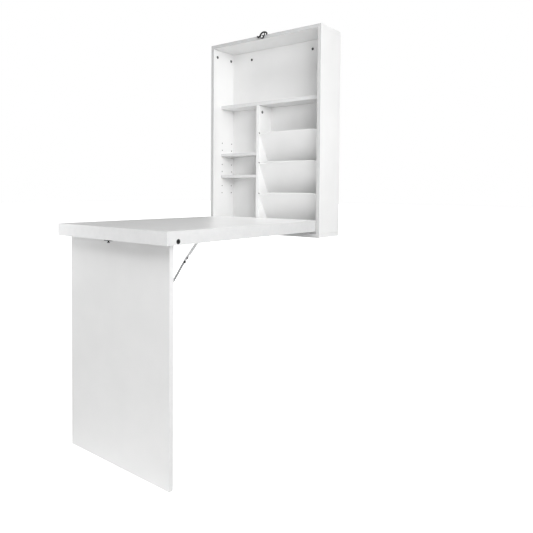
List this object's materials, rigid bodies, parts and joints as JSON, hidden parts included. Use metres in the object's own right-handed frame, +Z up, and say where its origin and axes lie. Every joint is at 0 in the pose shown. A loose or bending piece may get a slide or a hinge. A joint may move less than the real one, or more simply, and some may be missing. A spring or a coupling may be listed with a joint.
{
  "type": "secretary desk",
  "caption": "Wall-hung fold-out secretary desk: shallow open cabinet with shelves and tilted pockets, drop-down desk slab and fold-out leg panel with stays.",
  "frame": {"origin": "middle of the cabinet's back, on the wall plane; the floor that the leg stands on is 1095 mm below it", "axes": "+Z up, +Y into the wall, +X to the right for someone facing the wall; stored with the desk open"},
  "size_m": [0.58, 0.876, 1.5179],
  "materials": {
    "white_board": "white melamine, satin",
    "steel": "bright zinc-plated steel",
    "dark_steel": "dark zinc",
    "black_metal": "satin black",
    "nylon": "moulded, natural white",
    "zinc": "bright zinc"
  },
  "bodies": {
    "cabinet": {"back_panel": "white_board", "bottom_panel": "white_board", "cam_divider": "dark_steel", "cam_left_front": "dark_steel", "cam_left_rear": "dark_steel", "cam_right_front": "dark_steel", "cam_right_rear": "dark_steel", "divider": "white_board", "latch_base": "black_metal", "latch_screw": "zinc", "pocket_panel_lower": "white_board", "pocket_panel_middle": "white_board", "pocket_panel_upper": "white_board", "shelf_pin_lower_left_front": "nylon", "shelf_pin_lower_left_rear": "nylon", "shelf_pin_lower_right_front": "nylon", "shelf_pin_lower_right_rear": "nylon", "shelf_pin_upper_left_front": "nylon", "shelf_pin_upper_left_rear": "nylon", "shelf_pin_upper_right_front": "nylon", "shelf_pin_upper_right_rear": "nylon", "side_panel_left": "white_board", "side_panel_right": "white_board", "small_shelf_lower": "white_board", "small_shelf_upper": "white_board", "top_panel": "white_board", "upper_shelf": "white_board", "wall_screw_left": "dark_steel", "wall_screw_right": "dark_steel"},
    "desk": {"desk_board": "white_board", "desk_pivot_pin_left": "steel", "desk_pivot_pin_right": "steel", "desk_rail_front": "white_board", "desk_rail_left": "white_board", "desk_rail_rear": "white_board", "desk_rail_right": "white_board", "desk_washer_left": "nylon", "desk_washer_right": "nylon", "latch_catch": "black_metal", "leg_bolt_left": "black_metal", "leg_bolt_right": "black_metal", "leg_washer_left": "nylon", "leg_washer_right": "nylon", "stay_desk_bracket_left": "steel", "stay_desk_bracket_right": "steel", "stay_desk_rivet_left": "steel", "stay_desk_rivet_right": "steel"},
    "leg": {"leg_panel": "white_board", "stay_leg_bracket_left": "steel", "stay_leg_bracket_right": "steel", "stay_leg_rivet_left": "steel", "stay_leg_rivet_right": "steel"},
    "stay_upper_left": {"stay_mid_rivet_left": "dark_steel", "stay_upper_arm_left": "steel"},
    "stay_upper_right": {"stay_mid_rivet_right": "dark_steel", "stay_upper_arm_right": "steel"},
    "stay_lower_left": {"stay_lower_arm_left": "steel"},
    "stay_lower_right": {"stay_lower_arm_right": "steel"},
    "latch_hook": {"latch_hook": "black_metal"}
  },
  "joints": [
    {"name": "desk_fold", "type": "hinge", "parent": "cabinet", "child": "desk", "pos_m": [0, -0.122, -0.362], "axis": [-1, 0, 0], "range_deg": [0, 90]},
    {"name": "leg_fold", "type": "hinge", "parent": "desk", "child": "leg", "pos_m": [0, -0.8365, -0.375], "axis": [1, 0, 0], "range_deg": [0, 90]},
    {"name": "stay_upper_left_fold", "type": "hinge", "parent": "desk", "child": "stay_upper_left", "pos_m": [-0.226, -0.695, -0.36225], "axis": [1, 0, 0], "range_deg": [0, 133.5]},
    {"name": "stay_lower_left_fold", "type": "hinge", "parent": "leg", "child": "stay_lower_left", "pos_m": [-0.2234, -0.82375, -0.5114], "axis": [-1, 0, 0], "range_deg": [0, 141.8]},
    {"name": "stay_upper_right_fold", "type": "hinge", "parent": "desk", "child": "stay_upper_right", "pos_m": [0.226, -0.695, -0.36225], "axis": [1, 0, 0], "range_deg": [0, 133.5]},
    {"name": "stay_lower_right_fold", "type": "hinge", "parent": "leg", "child": "stay_lower_right", "pos_m": [0.2234, -0.82375, -0.5114], "axis": [-1, 0, 0], "range_deg": [0, 141.8]},
    {"name": "latch_turn", "type": "hinge", "parent": "cabinet", "child": "latch_hook", "pos_m": [0.004, -0.1497, 0.4025], "axis": [0, 1, 0], "range_deg": [0, 138]}
  ],
  "couplings": [
    {"joint": "leg_fold", "follows": "desk_fold", "ratio": 1},
    {"joint": "stay_upper_left_fold", "follows": "desk_fold", "ratio": 1.4828},
    {"joint": "stay_lower_left_fold", "follows": "desk_fold", "ratio": 1.5746},
    {"joint": "stay_upper_right_fold", "follows": "desk_fold", "ratio": 1.4828},
    {"joint": "stay_lower_right_fold", "follows": "desk_fold", "ratio": 1.5746}
  ]
}
